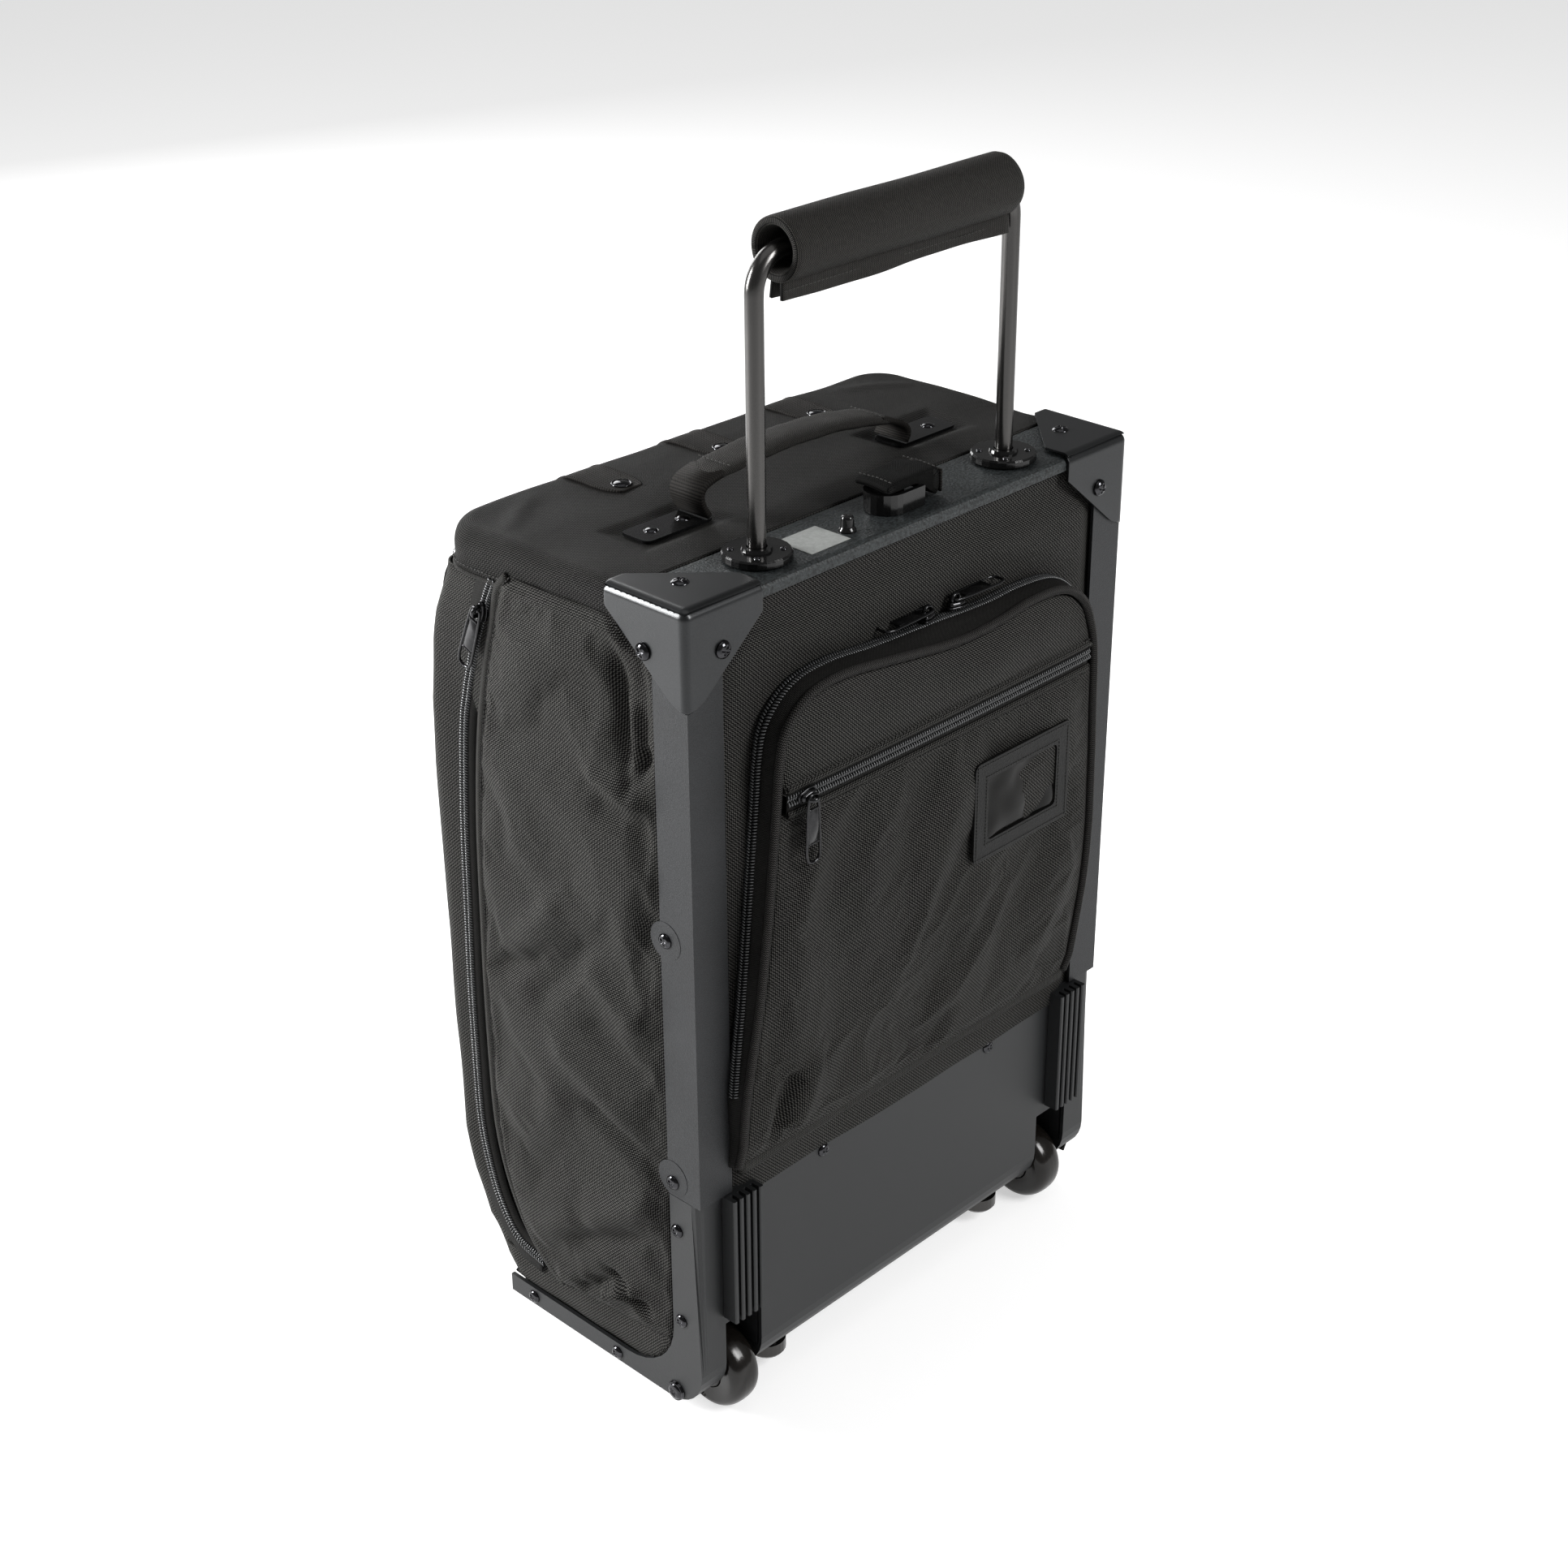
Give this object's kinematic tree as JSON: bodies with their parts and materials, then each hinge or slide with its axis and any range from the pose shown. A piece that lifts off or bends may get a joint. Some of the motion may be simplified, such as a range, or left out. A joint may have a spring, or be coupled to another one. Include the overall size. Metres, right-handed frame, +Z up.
{
  "type": "suitcase",
  "caption": "Softside upright suitcase with an angle-rail frame, moulded base, two fixed wheels, telescoping pull handle, zipped lid and pockets, and a carry handle.",
  "frame": {"origin": "centre of the bounding box on the floor plane that the wheels and front feet stand on", "axes": "+Z up, +X to the right seen from the wheel and pull-handle side, +Y from the wheel side towards the lid"},
  "size_m": [0.3698, 0.2552, 0.708],
  "materials": {
    "fabric": "ballistic nylon weave",
    "lining": "plain nylon lining",
    "webbing": "nylon webbing",
    "padding": "padded ballistic nylon",
    "rail": "dark grey fine-textured powder coat",
    "guard": "dark grey satin paint",
    "plate": "grained moulded plastic",
    "base_plastic": "satin moulded plastic",
    "gloss_plastic": "glossy black",
    "rod": "satin gunmetal",
    "tyre": "glossy cast polyurethane",
    "hub": "moulded plastic",
    "steel": "plain",
    "black_metal": "black chrome",
    "leather": "smooth leather",
    "clear": "clear vinyl",
    "label": "blank plate",
    "rubber": "matte"
  },
  "bodies": {
    "case": {"base_tub": "base_plastic", "skid_guard_left": "base_plastic", "skid_guard_right": "base_plastic", "wheel_housing_left": "base_plastic", "wheel_housing_right": "base_plastic", "front_foot_left": "rubber", "front_foot_right": "rubber", "frame_rail_left": "rail", "frame_rail_right": "rail", "corner_guard_left": "guard", "corner_guard_right": "guard", "top_plate": "plate", "guide_tube_left": "rod", "guide_tube_right": "rod", "rod_bushing_left": "gloss_plastic", "rod_bushing_right": "gloss_plastic", "bag_side_left": "fabric", "bag_side_right": "fabric", "bag_roof": "fabric", "bag_rim": "fabric", "bag_foot": "fabric", "bag_heel": "fabric", "bag_back": "fabric", "side_pocket_left": "fabric", "side_pocket_right": "fabric", "back_pocket": "fabric", "handle_plate_left": "black_metal", "handle_plate_right": "black_metal", "strap_hook": "gloss_plastic", "hook_strap": "webbing", "id_window_frame": "leather", "axle_left": "steel", "axle_right": "steel"},
    "pull_handle": {"pull_rod": "rod", "grip_wrap": "padding", "rod_stop_left": "gloss_plastic", "rod_stop_right": "gloss_plastic"},
    "wheel_left": {"tyre_left": "tyre", "hub_left": "hub"},
    "wheel_right": {"tyre_right": "tyre", "hub_right": "hub"},
    "release_button": {"release_button": "gloss_plastic"},
    "lid": {"lid": "fabric", "front_pocket": "fabric"},
    "lid_slider": {"lid_slider": "black_metal"},
    "lid_pull": {"lid_pull": "black_metal"},
    "carry_handle": {"carry_handle": "padding"},
    "snap_tab_left": {"snap_tab_left": "fabric"},
    "snap_tab_centre": {"snap_tab_centre": "fabric"},
    "snap_tab_right": {"snap_tab_right": "fabric"},
    "side_left_slider": {"side_left_slider": "black_metal"},
    "side_left_pull": {"side_left_pull": "black_metal"},
    "side_right_slider": {"side_right_slider": "black_metal"},
    "side_right_pull": {"side_right_pull": "black_metal"},
    "arch_left_slider": {"arch_left_slider": "black_metal"},
    "arch_left_pull": {"arch_left_pull": "black_metal"},
    "arch_right_slider": {"arch_right_slider": "black_metal"},
    "arch_right_pull": {"arch_right_pull": "black_metal"},
    "back_slider": {"back_slider": "black_metal"},
    "back_pull": {"back_pull": "black_metal"}
  },
  "joints": [
    {"name": "handle_slide", "type": "slide", "parent": "case", "child": "pull_handle", "axis": [0, 0, 1], "range_m": [-0.1, 0.3]},
    {"name": "wheel_left_spin", "type": "hinge", "parent": "case", "child": "wheel_left", "pos_m": [-0.143, -0.0769, 0.0265], "axis": [1, 0, 0], "continuous": true},
    {"name": "wheel_right_spin", "type": "hinge", "parent": "case", "child": "wheel_right", "pos_m": [0.143, -0.0769, 0.0265], "axis": [1, 0, 0], "continuous": true},
    {"name": "button_press", "type": "slide", "parent": "case", "child": "release_button", "axis": [0, 0, -1], "range_m": [0, 0.002], "stiffness_N_per_m": 300},
    {"name": "lid_open", "type": "hinge", "parent": "case", "child": "lid", "pos_m": [0, 0.0846, 0.05], "axis": [-1, 0, 0], "range_deg": [0, 90]},
    {"name": "tab_left_lift", "type": "hinge", "parent": "lid", "child": "snap_tab_left", "pos_m": [-0.079, 0.1037, 0.496], "axis": [-1, 0, 0], "range_deg": [0, 150]},
    {"name": "tab_centre_lift", "type": "hinge", "parent": "lid", "child": "snap_tab_centre", "pos_m": [0, 0.1037, 0.496], "axis": [-1, 0, 0], "range_deg": [0, 150]},
    {"name": "tab_right_lift", "type": "hinge", "parent": "lid", "child": "snap_tab_right", "pos_m": [0.079, 0.1037, 0.496], "axis": [-1, 0, 0], "range_deg": [0, 150]},
    {"name": "carry_tilt", "type": "hinge", "parent": "case", "child": "carry_handle", "pos_m": [0, -0.0075, 0.5354], "axis": [1, 0, 0], "range_deg": [-40, 40]},
    {"name": "side_left_slide", "type": "slide", "parent": "case", "child": "side_left_slider", "axis": [0, 0.3552, -0.9348], "range_m": [0, 0.045]},
    {"name": "side_left_pull_lift", "type": "hinge", "parent": "side_left_slider", "child": "side_left_pull", "pos_m": [-0.1841, 0.0551, 0.489], "axis": [0, 0.9348, 0.3552], "range_deg": [0, 160]},
    {"name": "arch_left_slide", "type": "slide", "parent": "case", "child": "arch_left_slider", "axis": [-1, 0, 0], "range_m": [0, 0.07]},
    {"name": "arch_left_pull_lift", "type": "hinge", "parent": "arch_left_slider", "child": "arch_left_pull", "pos_m": [0.002, -0.1044, 0.4781], "axis": [0, 1, 0], "range_deg": [0, 160]},
    {"name": "side_right_slide", "type": "slide", "parent": "case", "child": "side_right_slider", "axis": [0, 0.3552, -0.9348], "range_m": [0, 0.045]},
    {"name": "side_right_pull_lift", "type": "hinge", "parent": "side_right_slider", "child": "side_right_pull", "pos_m": [0.1841, 0.0551, 0.489], "axis": [0, -0.9348, -0.3552], "range_deg": [0, 160]},
    {"name": "arch_right_slide", "type": "slide", "parent": "case", "child": "arch_right_slider", "axis": [1, 0, 0], "range_m": [0, 0.045]},
    {"name": "arch_right_pull_lift", "type": "hinge", "parent": "arch_right_slider", "child": "arch_right_pull", "pos_m": [0.025, -0.1044, 0.4781], "axis": [0, -1, 0], "range_deg": [0, 160]},
    {"name": "back_slide", "type": "slide", "parent": "case", "child": "back_slider", "axis": [1, 0, 0], "range_m": [0, 0.215]},
    {"name": "back_pull_lift", "type": "hinge", "parent": "back_slider", "child": "back_pull", "pos_m": [-0.113, -0.1268, 0.414], "axis": [-1, 0, 0], "range_deg": [0, 160]},
    {"name": "lid_slide", "type": "slide", "parent": "lid", "child": "lid_slider", "axis": [0, 0, -1], "range_m": [0, 0.36]},
    {"name": "lid_pull_lift", "type": "hinge", "parent": "lid_slider", "child": "lid_pull", "pos_m": [0.156, 0.1182, 0.46], "axis": [1, 0, 0], "range_deg": [0, 160]}
  ]
}
